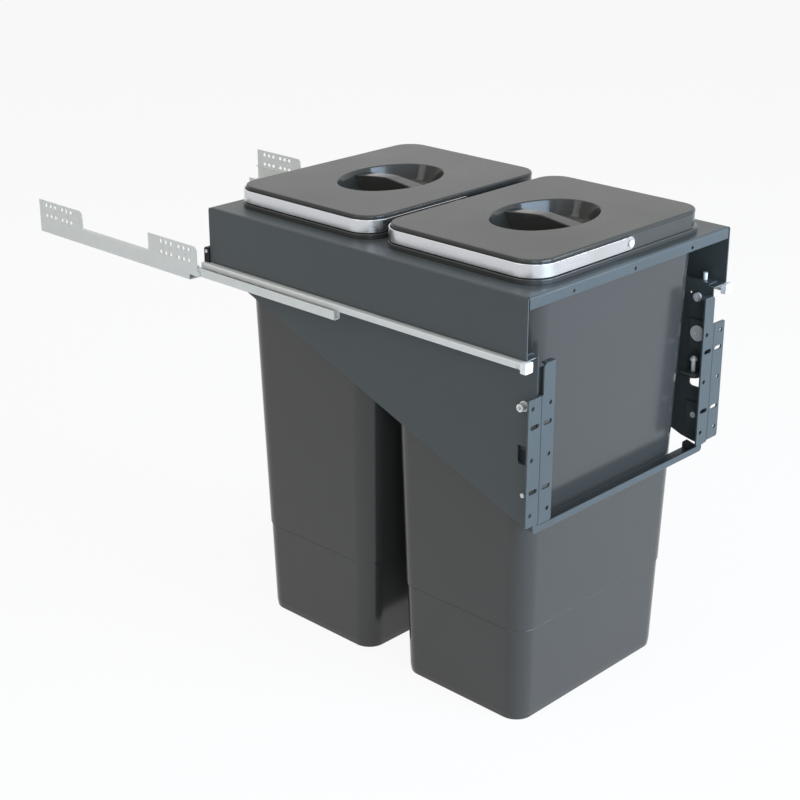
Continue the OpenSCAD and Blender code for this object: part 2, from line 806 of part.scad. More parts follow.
// The face of a door bracket in x and z: a tall inner and a short outer column
module bracket_face() {
    difference() {
        union() {
            translate([inner_column_x0, -bracket_top_drop - bracket_h])
                square([bracket_column_w + fit_gap, bracket_h + bracket_top_drop - outer_column_drop]);
            translate([inner_column_x0, -bracket_top_drop - bracket_h])
                square([bracket_column_w - neck_in, bracket_h]);
            translate([seam_x, -outer_column_drop - outer_column_h])
                square([bracket_column_w, outer_column_h]);
        }
        translate([inner_column_x0, -bracket_top_drop - bracket_h]) corner_cut(bracket_corner_r);
        translate([seam_x - neck_in, -bracket_top_drop]) mirror([1, 0]) mirror([0, 1])
            corner_cut(neck_corner_r);
        translate([outer_column_x1, -outer_column_drop]) mirror([1, 0]) mirror([0, 1])
            corner_cut(bracket_corner_r);
        translate([outer_column_x1, -outer_column_drop - outer_column_h]) mirror([1, 0])
            corner_cut(bracket_corner_r);
        for (i = [0 : len(row_drops) - 1], column = [-1, 1]) {
            offset_x = column * (row_is_slot[i] ? slot_offset : hole_offset);
            translate([seam_x + offset_x, -row_drops[i]]) {
                if (row_is_slot[i]) slot_outline(door_slot_l, door_hole_d);
                else circle(d = door_hole_d);
            }
        }
    }
}

// The crease between the two columns in x and y, where the sheet turns back on both sides
module crease_outline() {
    difference() {
        translate([seam_x - crease_r, -door_gap - overrun]) square([2 * crease_r, crease_r + overrun]);
        for (side = [-1, 1]) translate([seam_x + side * crease_r, -door_gap + crease_r]) circle(crease_r);
    }
}

module door_bracket() {
    back = -door_gap + bracket_t;
    difference() {
        union() {
            along_y(-door_gap, back) bracket_face();
            translate([web_x0, -door_gap, -upper_ear_top - upper_ear_h])
                cube([bracket_t, door_gap + upper_ear_d, upper_ear_h]);
            translate([web_x0, -door_gap, -lower_ear_top - lower_ear_h])
                cube([bracket_t, door_gap + lower_ear_d, lower_ear_h]);
            translate([inner_column_x0, -door_gap, -bracket_top_drop - bracket_t])
                cube([top_tab_w, bracket_t + top_tab_d, bracket_t]);
        }
        translate([0, 0, -bracket_top_drop - bracket_h - overrun])
            linear_extrude(bracket_h + bracket_top_drop - outer_column_drop + overrun) crease_outline();
        translate([inner_column_x0 + top_tab_w / 2, back + top_tab_d / 2,
            -bracket_top_drop - bracket_t - overrun])
            cylinder(h = bracket_t + 2 * overrun, d = top_tab_hole_d);
        bore_x(web_x0, web_x1, clamp_bolt_d, clamp_y, -clamp_drop);
        bore_x(web_x0, web_x1, pivot_d, pivot_y, -pivot_drop);
    }
}

module clamp_bolt() {
    head_x = plate_x1 + clamp_washer_t;
    difference() {
        union() {
            pin_x(web_x0 - clamp_nut_t, head_x, clamp_bolt_d, clamp_y, -clamp_drop);
            pin_x(head_x, head_x + clamp_head_h, clamp_head_d, clamp_y, -clamp_drop);
        }
        translate([head_x + clamp_head_h - clamp_socket_depth, clamp_y, -clamp_drop]) rotate([0, 90, 0])
            cylinder(h = clamp_socket_depth + overrun, d = clamp_socket_d, $fn = 6);
    }
}

module clamp_washer() {
    difference() {
        pin_x(plate_x1, plate_x1 + clamp_washer_t, clamp_washer_d, clamp_y, -clamp_drop);
        bore_x(plate_x1, plate_x1 + clamp_washer_t, clamp_bolt_d, clamp_y, -clamp_drop);
    }
}

// Round nut on the inside, with a turned ring on its face
module clamp_nut() {
    face_x = web_x0 - clamp_nut_t;
    difference() {
        union() {
            pin_x(face_x, web_x0, clamp_nut_d, clamp_y, -clamp_drop);
            pin_x(face_x - clamp_nut_ring_t, face_x, clamp_nut_ring_d, clamp_y, -clamp_drop);
        }
        bore_x(face_x - clamp_nut_ring_t, web_x0, clamp_bolt_d, clamp_y, -clamp_drop);
    }
}

// Plain pin on which the foot of a bracket turns, with its collar inside
module pivot_pin() {
    pin_x(web_x0, plate_x1 + pivot_proud, pivot_d, pivot_y, -pivot_drop);
    pin_x(web_x0 - pivot_collar_l, web_x0, pivot_collar_d, pivot_y, -pivot_drop);
}

// Round cam that turns in the side plate, its driving bore off the middle
module tilt_cam() {
    head_x = plate_x0 - loose_gap - cam_t;
    difference() {
        union() {
            pin_x(plate_x0 - loose_gap - running_gap, plate_x1, cam_axle_d, cam_y, -cam_drop);
            pin_x(head_x, plate_x0 - loose_gap, cam_d, cam_y, -cam_drop);
        }
        pin_x(head_x - overrun, head_x + cam_bore_depth, cam_bore_d, cam_y - cam_bore_shift, -cam_drop);
    }
}

// Threaded rod of the height adjuster, with a domed head, in the tab of the side plate
module height_screw() {
    foot_z = -thumb_wheel_drop - thumb_wheel_t - adjuster_foot_l;
    dome_r = adjuster_head_d / 2;
    translate([adjuster_x, adjuster_y, 0]) {
        translate([0, 0, foot_z]) cylinder(h = -adjuster_top_drop - adjuster_head_h - foot_z, d = adjuster_d);
        translate([0, 0, -adjuster_top_drop - adjuster_head_h]) rotate_extrude() intersection() {
            scale([1, adjuster_head_h / dome_r]) circle(dome_r);
            square(adjuster_head_d);
        }
    }
}

// Thumb wheel on the rod, its rim fluted
module thumb_wheel() {
    r = thumb_wheel_d / 2;
    z0 = -thumb_wheel_drop - thumb_wheel_t;
    translate([adjuster_x, adjuster_y, z0]) linear_extrude(thumb_wheel_t) difference() {
        circle(r);
        circle(d = adjuster_d + 2 * running_gap);
        for (i = [0 : thumb_wheel_grooves - 1]) rotate(360 * i / thumb_wheel_grooves) translate([r, 0])
            circle(d = thumb_groove_d, $fn = 16);
    }
}

// Bins, lids and bails, each drawn about its own centre

// A closed solid through level rings of points, all with the same count and turning the same way
module loft(rings) {
    n = len(rings[0]);
    last = len(rings) - 1;
    polyhedron(points = [for (ring = rings, point = ring) point], faces = concat(
        [[for (i = [n - 1 : -1 : 0]) i]],
        [for (k = [0 : last - 1], i = [0 : n - 1])
            [k * n + i, k * n + (i + 1) % n, (k + 1) * n + (i + 1) % n, (k + 1) * n + i]],
        [[for (i = [0 : n - 1]) last * n + i]]));
}

// A level ring: a rectangle with rounded corners
function rect_ring(l, w, r, z) = [for (corner = [0 : 3], i = [0 : corner_steps])
    let (a = 90 * (corner + i / corner_steps))
    [(corner % 3 == 0 ? 1 : -1) * (l / 2 - r) + r * cos(a),
        (corner < 2 ? 1 : -1) * (w / 2 - r) + r * sin(a), z]];

// Length or width of the drafted wall at a depth below the tray's top
function wall_at(top, foot, depth) = top + (foot - top) * depth / bin_depth;

// The ring of the bin's wall at a depth, drawn in all round by inset
function bin_ring(inset, depth) = rect_ring(wall_at(bin_l, bin_foot_l, depth) - 2 * inset,
    wall_at(bin_w, bin_foot_w, depth) - 2 * inset,
    bin_corner_r * wall_at(bin_l, bin_foot_l, depth) / bin_l - inset, -depth);

// The rings of the wall from the tray's top down to the foot, for the outside or the inside
function wall_rings(inset, from, depth) = [
    bin_ring(inset, from),
    bin_ring(inset, step_depth),
    bin_ring(inset + step_in, step_depth),
    bin_ring(inset + step_in, depth - foot_edge),
    bin_ring(inset + step_in + foot_edge_in, depth)];

function ring_over(x, y, z) = rect_ring(bin_l + 2 * x, bin_w + 2 * y, bin_corner_r + x, z);

// The rings of rim and collar, from the collar's top down to the tray
function rim_rings() = [
    ring_over(collar_over_x, collar_over_y, collar_top),
    ring_over(collar_over_x, collar_over_y, rim_h),
    ring_over(rim_over_x - rim_edge / 2, rim_over_y - rim_edge / 2, rim_h),
    ring_over(rim_over_x, rim_over_y, rim_h - rim_edge),
    ring_over(rim_over_x, rim_over_y, 0)];

function reversed(list) = [for (i = [len(list) - 1 : -1 : 0]) list[i]];

module bin() {
    difference() {
        union() {
            loft(concat(reversed(wall_rings(bin_wall, -collar_top, bin_depth - bin_wall)), rim_rings(),
                wall_rings(0, 0, bin_depth)));
            for (side = [-1, 1]) bail_boss(side);
        }
        for (side = [-1, 1]) rivet_bore(side);
    }
}

// A boss on the collar meets each arm of the bail
module bail_boss(side) {
    boss_y1 = arm_y0 - loose_gap;
    from = side > 0 ? bin_w / 2 : -boss_y1;
    pin_y(from, from + boss_y1 - bin_w / 2, boss_d, bail_pivot_x, pivot_z);
}

module rivet_bore(side) {
    reach = arm_y0 + bail_t + overrun;
    from = side > 0 ? bin_w / 2 - bin_wall - overrun : -reach;
    pin_y(from, from + reach - bin_w / 2 + bin_wall + overrun, rivet_d, bail_pivot_x, pivot_z);
}

// Flat rivet: the bail turns on its shank, its head stands outside
module bail_rivet(side) {
    inner = bin_w / 2 - bin_wall - rivet_inner_l;
    outer = arm_y0 + bail_t + loose_gap;
    rotate(side > 0 ? 0 : 180) translate([side > 0 ? 0 : -2 * bail_pivot_x, 0, 0]) {
        pin_y(inner, outer, rivet_d, bail_pivot_x, pivot_z);
        pin_y(outer, outer + rivet_head_h, rivet_head_d, bail_pivot_x, pivot_z);
        pin_y(inner - rivet_inner_l, inner + rivet_inner_l, rivet_head_d, bail_pivot_x, pivot_z);
    }
}

module bail_rivets() {
    for (side = [-1, 1]) bail_rivet(side);
}

// Satin strip bent to a U: its base lies along the left side of the bin
module bail() {
    reach = arm_x0 + bail_t;
    difference() {
        union() {
            translate([0, 0, bail_z0]) linear_extrude(bail_h) difference() {
                rounded_rect(2 * reach, 2 * (arm_y0 + bail_t), lid_corner_r + bail_gap + bail_t);
                rounded_rect(2 * arm_x0, 2 * arm_y0, lid_corner_r + bail_gap);
                translate([bail_pivot_x, -lid_w]) square([2 * lid_l, 2 * lid_w]);
            }
            for (y = [-arm_y0 - bail_t, arm_y0]) pin_y(y, y + bail_t, bail_h, bail_pivot_x, pivot_z);
        }
        pin_y(-lid_w, lid_w, rivet_d + 2 * running_gap, bail_pivot_x, pivot_z);
    }
}

// Points of an arc at one height, its last point left to the next arc
function arc_points(x, y, r, from, to, z) = [for (i = [0 : arc_steps - 1])
    let (a = from + (to - from) * i / arc_steps) [x + r * cos(a), y + r * sin(a), z]];

// A level ring of the recess, drawn in by inset: two round ends joined by two flatter arcs
function oval_ring(inset, z) =
    let (end_x = recess_l / 2 - recess_end_r,
        side_r = (pow(end_x, 2) + pow(recess_w / 2, 2) - pow(recess_end_r, 2)) / (recess_w - 2 * recess_end_r),
        side_y = side_r - recess_w / 2,
        join = atan2(side_y, end_x))
    concat(arc_points(end_x, 0, recess_end_r - inset, -join, join, z),
        arc_points(0, -side_y, side_r - inset, join, 180 - join, z),
        arc_points(-end_x, 0, recess_end_r - inset, 180 - join, 180 + join, z),
        arc_points(0, side_y, side_r - inset, 180 + join, 360 - join, z));

// The recess as a solid, thickened all round by wall and reaching up to rise above the lid's top
module recess(wall, rise) {
    top = collar_top + lid_t;
    loft(concat([oval_ring(-wall, top + rise)], [for (i = [0 : len(recess_in_shares) - 1])
        oval_ring(recess_in * recess_in_shares[i] - wall, top - wall - recess_depth * recess_z_shares[i])]));
}

module lid_plan(inset) {
    rounded_rect(lid_l - 2 * inset, lid_w - 2 * inset, lid_corner_r - inset);
}

// The bar across the recess: slightly waisted in plan, with an arched top
module grip() {
    top = collar_top + lid_t;
    waist = (grip_end_w - grip_w) / 2;
    waist_r = (recess_w * recess_w / 4 + waist * waist) / (2 * waist);
    intersection() {
        translate([0, 0, top - recess_depth - recess_wall / 4])
            linear_extrude(recess_depth + recess_wall / 4 + grip_rise) difference() {
                square([grip_end_w, recess_w], center = true);
                for (side = [-1, 1]) translate([side * (grip_w / 2 + waist_r), 0]) circle(waist_r, $fn = 360);
            }
        along_x(-grip_end_w, grip_end_w) translate([0, top + grip_rise - grip_arch_r])
            circle(grip_arch_r, $fn = 180);
        recess(recess_wall / 2, grip_rise);
    }
}

module lid() {
    top = collar_top + lid_t;
    plug_half_l = bin_l / 2 - bin_wall - plug_gap;
    plug_half_w = bin_w / 2 - bin_wall - plug_gap;
    plug_corner = bin_corner_r - bin_wall - plug_gap;
    difference() {
        union() {
            translate([0, 0, collar_top]) linear_extrude(lid_t - lid_edge) lid_plan(0);
            translate([0, 0, top - lid_edge]) linear_extrude(lid_edge, slices = 1,
                scale = [(lid_l - 2 * lid_edge) / lid_l, (lid_w - 2 * lid_edge) / lid_w]) lid_plan(0);
            translate([0, 0, collar_top - plug_drop]) linear_extrude(plug_drop) difference() {
                rounded_rect(2 * plug_half_l, 2 * plug_half_w, plug_corner);
                rounded_rect(2 * (plug_half_l - plug_t), 2 * (plug_half_w - plug_t), plug_corner - plug_t);
            }
            recess(recess_wall, -lid_edge);
        }
        recess(0, overrun);
    }
    grip();
}

// The nodes

module cabinet_rail_left() { color(zinc_grey) placed() on_side(-1) cabinet_rail(); }
module cabinet_rail_right() { color(zinc_grey) placed() on_side(1) cabinet_rail(); }
module middle_rail_left() { color(zinc_grey) placed() on_side(-1) middle_rail(); }
module middle_rail_right() { color(zinc_grey) placed() on_side(1) middle_rail(); }
module drawer_rail_left() { color(zinc_grey) placed() on_side(-1) drawer_rail(); }
module drawer_rail_right() { color(zinc_grey) placed() on_side(1) drawer_rail(); }
module rail_end_caps() { color(cap_white) placed() both_sides() rail_end_cap(); }
module rear_hooks() { color(dark_plastic) placed() both_sides() rear_hook(); }
module hook_pins() { color(screw_grey) placed() both_sides() hook_pin(); }
module outer_carriage_left() { color(dark_plastic) placed() on_side(-1) outer_carriage(); }
module outer_carriage_right() { color(dark_plastic) placed() on_side(1) outer_carriage(); }
module outer_rollers_left() { color(cap_white) placed() on_side(-1) outer_rollers(); }
module outer_rollers_right() { color(cap_white) placed() on_side(1) outer_rollers(); }
module inner_carriage_left() { color(dark_plastic) placed() on_side(-1) inner_carriage(); }
module inner_carriage_right() { color(dark_plastic) placed() on_side(1) inner_carriage(); }
module inner_rollers_left() { color(cap_white) placed() on_side(-1) inner_rollers(); }
module inner_rollers_right() { color(cap_white) placed() on_side(1) inner_rollers(); }
module pull_tray() { color(steel_grey) placed() tray(); }
module tray_screws() { color(screw_grey) placed() both_sides() tray_screw(); }
module side_plate_left() { color(steel_grey) placed() on_side(-1) side_plate(); }
module side_plate_right() { color(steel_grey) placed() on_side(1) side_plate(); }
module u_frame() { color(steel_grey) placed() front_frame(); }
module door_bracket_left() { color(steel_grey) placed() on_side(-1) door_bracket(); }
module door_bracket_right() { color(steel_grey) placed() on_side(1) door_bracket(); }
module clamp_bolts() { color(screw_grey) placed() both_sides() clamp_bolt(); }
module clamp_washers() { color(screw_grey) placed() both_sides() clamp_washer(); }
module clamp_nuts() { color(screw_grey) placed() both_sides() clamp_nut(); }
module pivot_pins() { color(screw_grey) placed() both_sides() pivot_pin(); }
module tilt_cam_left() { color(screw_grey) placed() on_side(-1) tilt_cam(); }
module tilt_cam_right() { color(screw_grey) placed() on_side(1) tilt_cam(); }
module height_screw_left() { color(screw_grey) placed() on_side(-1) height_screw(); }
module height_screw_right() { color(screw_grey) placed() on_side(1) height_screw(); }
module thumb_wheel_left() { color(dark_plastic) placed() on_side(-1) thumb_wheel(); }
module thumb_wheel_right() { color(dark_plastic) placed() on_side(1) thumb_wheel(); }
module bin_front() { color(bin_grey) placed() translate([0, front_bin_y, 0]) bin(); }
module bin_rear() { color(bin_grey) placed() translate([0, rear_bin_y, 0]) bin(); }
module lid_front() { color(lid_grey) placed() translate([0, front_bin_y, 0]) lid(); }
module lid_rear() { color(lid_grey) placed() translate([0, rear_bin_y, 0]) lid(); }
module bail_front() { color(band_grey) placed() translate([0, front_bin_y, 0]) bail(); }
module bail_rear() { color(band_grey) placed() translate([0, rear_bin_y, 0]) bail(); }
module bail_rivets_front() { color(screw_grey) placed() translate([0, front_bin_y, 0]) bail_rivets(); }
module bail_rivets_rear() { color(screw_grey) placed() translate([0, rear_bin_y, 0]) bail_rivets(); }

cabinet_rail_left();
cabinet_rail_right();
middle_rail_left();
middle_rail_right();
drawer_rail_left();
drawer_rail_right();
rail_end_caps();
rear_hooks();
hook_pins();
outer_carriage_left();
outer_carriage_right();
outer_rollers_left();
outer_rollers_right();
inner_carriage_left();
inner_carriage_right();
inner_rollers_left();
inner_rollers_right();
pull_tray();  // tray
tray_screws();
side_plate_left();
side_plate_right();
u_frame();  // front_frame
door_bracket_left();
door_bracket_right();
clamp_bolts();
clamp_washers();
clamp_nuts();
pivot_pins();
tilt_cam_left();
tilt_cam_right();
height_screw_left();
height_screw_right();
thumb_wheel_left();
thumb_wheel_right();
bin_front();
bin_rear();
lid_front();
lid_rear();
bail_front();
bail_rear();
bail_rivets_front();
bail_rivets_rear();
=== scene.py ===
"""Door-mounted pull-out waste bin unit: moulded pieces, finishes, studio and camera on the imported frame."""
import json
import math

import bpy
import numpy as np
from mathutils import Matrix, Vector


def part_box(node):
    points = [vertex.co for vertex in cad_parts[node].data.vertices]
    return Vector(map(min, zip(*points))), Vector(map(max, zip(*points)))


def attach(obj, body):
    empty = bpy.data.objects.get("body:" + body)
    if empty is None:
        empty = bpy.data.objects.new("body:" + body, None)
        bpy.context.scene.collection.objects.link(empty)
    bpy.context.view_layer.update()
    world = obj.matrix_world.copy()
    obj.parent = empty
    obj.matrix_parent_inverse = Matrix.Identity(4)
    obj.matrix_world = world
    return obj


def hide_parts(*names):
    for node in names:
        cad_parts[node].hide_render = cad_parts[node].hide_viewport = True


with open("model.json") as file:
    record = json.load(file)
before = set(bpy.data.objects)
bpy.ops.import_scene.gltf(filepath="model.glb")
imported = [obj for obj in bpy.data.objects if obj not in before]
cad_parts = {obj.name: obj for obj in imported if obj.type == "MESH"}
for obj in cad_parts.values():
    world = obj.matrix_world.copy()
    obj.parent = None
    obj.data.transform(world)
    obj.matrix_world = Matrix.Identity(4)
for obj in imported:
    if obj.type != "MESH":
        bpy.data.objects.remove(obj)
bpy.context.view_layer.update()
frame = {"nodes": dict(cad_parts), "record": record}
NODES = frame["nodes"]
MM = 0.001
ENDS = ("front", "rear")

# Sizes of the moulded pieces in millimetres. Pocket and grip follow the photograph, inside the CAD's box
TRAY_TOP = 505.0
BIN_HALF = (139.7, 101.2)
BIN_FOOT_HALF = (127.2, 87.2)
BIN_CORNER = 25.0
BIN_WALL = 2.4
BIN_STEP = 1.1
STEP_Z = 113.0
RIM_TOP = 510.5
COLLAR_TOP = 526.0
LID_HALF = (141.5, 104.7)
LID_CORNER = 27.0
LID_TOP = 529.7
OVAL_HALF = (70.5, 51.0)
OVAL_END_R = 42.0
POCKET_FLOOR = 507.7
POCKET_WALL = 2.4
POCKET_FLAT = 33.0
POCKET_TOE = 9.4
POCKET_TOP = 1.0
POCKET_EASE = [8.5, 1.3]
GRIP_HALF_W = (8.5, 10.0)
GRIP_CROWN = 530.5
GRIP_FALL = 0.11
GRIP_RIDGE = 4.0
GRIP_EDGE = 1.3
GRIP_REACH = 48.8
BAIL_MID = (143.2, 106.4)
BAIL_CORNER = 28.7
BAIL_THICK = 1.8
BAIL_HALF_H = 7.0
BAIL_EDGE = 0.55
PIVOT = (6.0, 518.55)
PLUG_GAP = 0.6
RIM_OVER = (5.4, 6.6)
COLLAR_OVER = (1.8, 3.0)


# Surfaces

def middle_y(end):
    """The middle of a bin along the travel, in millimetres, from its lid's box."""
    low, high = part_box("lid_" + end)
    return (low[1] + high[1]) / 2 / MM


def eased(rows, reach, steps=5):
    """A line of rows with eased corners: around each corner the line leaves `reach` before it and comes
    back `reach` after it, along (1-t)^2 before + 2 t (1-t) corner + t^2 after, with t from 0 to 1."""
    rows = np.asarray(rows, float)
    step = np.diff(rows, axis=0)
    way = step / np.hypot(step[:, 0], step[:, -1])[:, None]
    reach = np.asarray(reach, float)[:, None]
    before, corner, after = rows[1:-1] - way[:-1] * reach, rows[1:-1], rows[1:-1] + way[1:] * reach
    t = np.linspace(0, 1, steps + 1)[None, :, None]
    bends = ((1 - t) ** 2 * before[:, None] + 2 * t * (1 - t) * corner[:, None]
             + t ** 2 * after[:, None])
    return np.concatenate([rows[:1], bends.reshape(-1, rows.shape[1]), rows[-1:]])


def rounded_plans(half_x, half_y, corner, steps=14):
    """Rounded rectangles, one for each row: quarter circles about the four corner middles, and on each side
    between them points at 2, 50 and 98 hundredths of its length."""
    half_x, half_y, corner = (np.asarray(v, float)[:, None, None] for v in (half_x, half_y, corner))
    turn = np.arange(4)[:, None] * math.pi / 2 + np.linspace(0, math.pi / 2, steps + 1)
    side_x, side_y = np.array([1, -1, -1, 1])[:, None], np.array([1, 1, -1, -1])[:, None]
    x = side_x * (half_x - corner) + corner * np.cos(turn)
    y = side_y * (half_y - corner) + corner * np.sin(turn)
    share = np.array([0.02, 0.5, 0.98])

    def with_sides(v):
        last, following = v[:, :, -1:], np.roll(v[:, :, :1], -1, axis=1)
        return np.concatenate([v, last + (following - last) * share], axis=2).reshape(len(v), -1)

    return with_sides(x), with_sides(y)


def rectangle_reach(angle, half_x, half_y, corner):
    """How far a rounded rectangle reaches in each direction: to the flat side where that is met first, and
    otherwise to the corner's circle, t = m + sqrt(m^2 - |c|^2 + r^2) with m the share of its middle c."""
    half_x, half_y, corner = (np.asarray(v, float)[:, None] for v in (half_x, half_y, corner))
    dx, dy = np.abs(np.cos(angle))[None], np.abs(np.sin(angle))[None]
    to_x, to_y = half_x / np.maximum(dx, 1e-9), half_y / np.maximum(dy, 1e-9)
    cx, cy = half_x - corner, half_y - corner
    m = dx * cx + dy * cy
    round_off = m + np.sqrt(np.maximum(m ** 2 - cx ** 2 - cy ** 2 + corner ** 2, 0))
    return np.where(to_x * dy <= cy, to_x, np.where(to_y * dx <= cx, to_y, round_off))


def oval_reach(angle, inset):
    """How far the oval reaches in each direction, drawn in by inset: two end circles and two wide side
    circles that meet them at one tangent, each by t = m + sqrt(m^2 - |c|^2 + r^2)."""
    inset = np.asarray(inset, float)[:, None]
    end_x = OVAL_HALF[0] - OVAL_END_R
    side_r = (end_x ** 2 + OVAL_HALF[1] ** 2 - OVAL_END_R ** 2) / (2 * (OVAL_HALF[1] - OVAL_END_R))
    side_y = side_r - OVAL_HALF[1]
    join = math.atan2(side_y, end_x)
    dx, dy = np.abs(np.cos(angle))[None], np.abs(np.sin(angle))[None]
    end_r, wide_r = OVAL_END_R - inset, side_r - inset
    on_end = dx * end_x + np.sqrt(np.maximum(end_r ** 2 - (dy * end_x) ** 2, 0))
    on_side = -dy * side_y + np.sqrt(np.maximum(wide_r ** 2 - (dx * side_y) ** 2, 0))
    meet = np.arctan2(end_r * math.sin(join), end_x + end_r * math.cos(join))
    return np.where(np.arctan2(dy, dx) < meet, on_end, on_side)


def skin(name, x, y, z, material, body, slot, *stands_for):
    """A closed skin: x, y and z hold one ring of points a row, in millimetres. Neighbouring rings are joined
    by four-sided faces and the first and last ring are closed by a fan to their middle. The sum of the
    faces' a . (b x c) tells which way they point, and they are turned where it is negative."""
    x, y = np.asarray(x, float), np.asarray(y, float)
    z = np.broadcast_to(np.asarray(z, float).reshape(len(x), -1), x.shape)
    rings = np.stack([x, y, z], -1) * MM
    count, around, _ = rings.shape
    points = np.concatenate([rings.reshape(-1, 3), rings[[0, -1]].mean(axis=1)])
    here = np.arange(count * around).reshape(count, around)
    ahead = np.roll(here, -1, axis=1)
    quads = np.stack([here[:-1], here[1:], ahead[1:], ahead[:-1]], -1).reshape(-1, 4)
    start, end = np.full(around, count * around), np.full(around, count * around + 1)
    fans = np.concatenate([np.stack([start, here[0], ahead[0]], -1),
                           np.stack([end, ahead[-1], here[-1]], -1)])
    triangles = np.concatenate([quads[:, :3], quads[:, [0, 2, 3]], fans])
    a, b, c = (points[triangles[:, i]] for i in range(3))
    if np.sum(a * np.cross(b, c)) < 0:
        quads, fans = quads[:, ::-1], fans[:, ::-1]
    mesh = bpy.data.meshes.new(name)
    mesh.from_pydata(points.tolist(), [], quads.tolist() + fans.tolist())
    mesh.polygons.foreach_set("use_smooth", np.ones(len(mesh.polygons), bool))
    mesh.update()
    mesh.materials.append(material)
    obj = bpy.data.objects.new(name, mesh)
    bpy.context.collection.objects.link(obj)
    obj.modifiers.new("flats_stay_flat", "WEIGHTED_NORMAL").keep_sharp = True
    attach(obj, body)
    if stands_for:
        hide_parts(*stands_for)
    return obj


# Pieces

def bin_wall(inset, z):
    """One row of the drafted wall: half length, half width, corner radius and height, drawn in by inset."""
    share = (TRAY_TOP - z) / TRAY_TOP
    half = [top + (foot - top) * share for top, foot in zip(BIN_HALF, BIN_FOOT_HALF)]
    return [half[0] - inset, half[1] - inset, BIN_CORNER * half[0] / BIN_HALF[0] - inset, z]


def bin_over(over_x, over_y, z):
    """One row of rim or collar, which stand out from the wall's top by over_x and over_y."""
    return [BIN_HALF[0] + over_x, BIN_HALF[1] + over_y, BIN_CORNER + over_x, z]


def moulded_bin(end):
    """A bin: the profile runs from under the floor up the outside, over step, rim and collar, and down the
    inside; each of its rows is carried round a rounded rectangle."""
    low, inner = BIN_STEP, BIN_WALL + BIN_STEP
    rows = [bin_wall(22, 1.2), bin_wall(16, 1.2), bin_wall(14.5, 0), bin_wall(low + 0.9, 0), bin_wall(low, 7),
            bin_wall(low, STEP_Z - 1.3), bin_wall(low + 0.35, STEP_Z - 0.9), bin_wall(low + 0.3, STEP_Z),
            bin_wall(0, STEP_Z + 0.25), bin_wall(0, TRAY_TOP),
            bin_over(*RIM_OVER, TRAY_TOP), bin_over(*RIM_OVER, RIM_TOP), bin_over(*COLLAR_OVER, RIM_TOP),
            bin_over(*COLLAR_OVER, COLLAR_TOP), bin_wall(BIN_WALL, COLLAR_TOP),
            bin_wall(BIN_WALL, STEP_Z + 0.35),
            bin_wall(inner, STEP_Z - 0.35), bin_wall(inner, 9.4), bin_wall(inner + 0.9, BIN_WALL),
            bin_wall(24, BIN_WALL)]
    reach = [1, 0.7, 0.8, 2.6, 0.15, 0.15, 0.12, 0.15, 0.3, 0.4, 1.1, 1.2, 0.6, 0.6, 0.3, 0.3, 2, 2.4]
    rows = eased(rows, reach, 4)
    x, y = rounded_plans(*rows[:, :3].T)
    return skin("moulded_bin_" + end, x, y + middle_y(end), rows[:, 3], bin_plastic, "bin_" + end,
                "bin_plastic", "bin_" + end)


def pocket_line(out):
    """The pocket's profile from near its middle up over its rim, thickened outwards by out: a flat floor,
    a wide toe, a steep wall and a rounded rim."""
    return [[POCKET_FLAT, POCKET_FLOOR - out], [POCKET_TOE - out, POCKET_FLOOR - out],
            [POCKET_TOP - out, LID_TOP], [-6, LID_TOP]]


def satin_lid(end):
    """A lid: its profile runs from the pocket's floor over the top, round the edge, under the plate and
    along the underside of the pocket. Rows of the pocket follow the oval and the others the lid's rounded
    rectangle, each as a distance from the middle in the same directions."""
    inside = eased(pocket_line(0), POCKET_EASE, 9)
    half_x, half_y, corner = LID_HALF[0], LID_HALF[1], LID_CORNER
    plug_x, plug_y = BIN_HALF[0] - BIN_WALL - PLUG_GAP, BIN_HALF[1] - BIN_WALL - PLUG_GAP
    plate = eased([[half_x - 7, half_y - 7, corner - 7, LID_TOP], [half_x, half_y, corner, LID_TOP],
                   [half_x, half_y, corner, COLLAR_TOP], [plug_x, plug_y, 22, COLLAR_TOP],
                   [plug_x, plug_y, 22, COLLAR_TOP - 3], [plug_x - 2.2, plug_y - 2.2, 19.8, COLLAR_TOP - 3],
                   [plug_x - 2.2, plug_y - 2.2, 19.8, COLLAR_TOP], [plug_x - 9, plug_y - 9, 13, COLLAR_TOP]],
                  [2.6, 0.8, 0.4, 0.8, 0.8, 0.4], 6)
    under = eased([[-7, COLLAR_TOP], [2.4 - POCKET_WALL, COLLAR_TOP - 0.2],
                   [POCKET_TOE - POCKET_WALL, POCKET_FLOOR - POCKET_WALL],
                   [POCKET_FLAT, POCKET_FLOOR - POCKET_WALL]],
                  [1.2, 8.5], 6)
    corner_turn = np.arctan2(*[v[0] for v in rounded_plans([half_x], [half_y], [corner])][::-1])
    even_turn = np.linspace(-math.pi, math.pi, 144, endpoint=False)
    angle = np.unique(np.round(np.concatenate([corner_turn, even_turn]), 4))
    reach = np.concatenate([oval_reach(angle, inside[:, 0]), rectangle_reach(angle, *plate[:, :3].T),
                            oval_reach(angle, under[:, 0])])
    z = np.concatenate([inside[:, 1], plate[:, 3], under[:, 1]])
    return skin("satin_lid_" + end, reach * np.cos(angle), reach * np.sin(angle) + middle_y(end), z,
                lid_plastic, "lid_" + end, "lid_plastic", "lid_" + end)


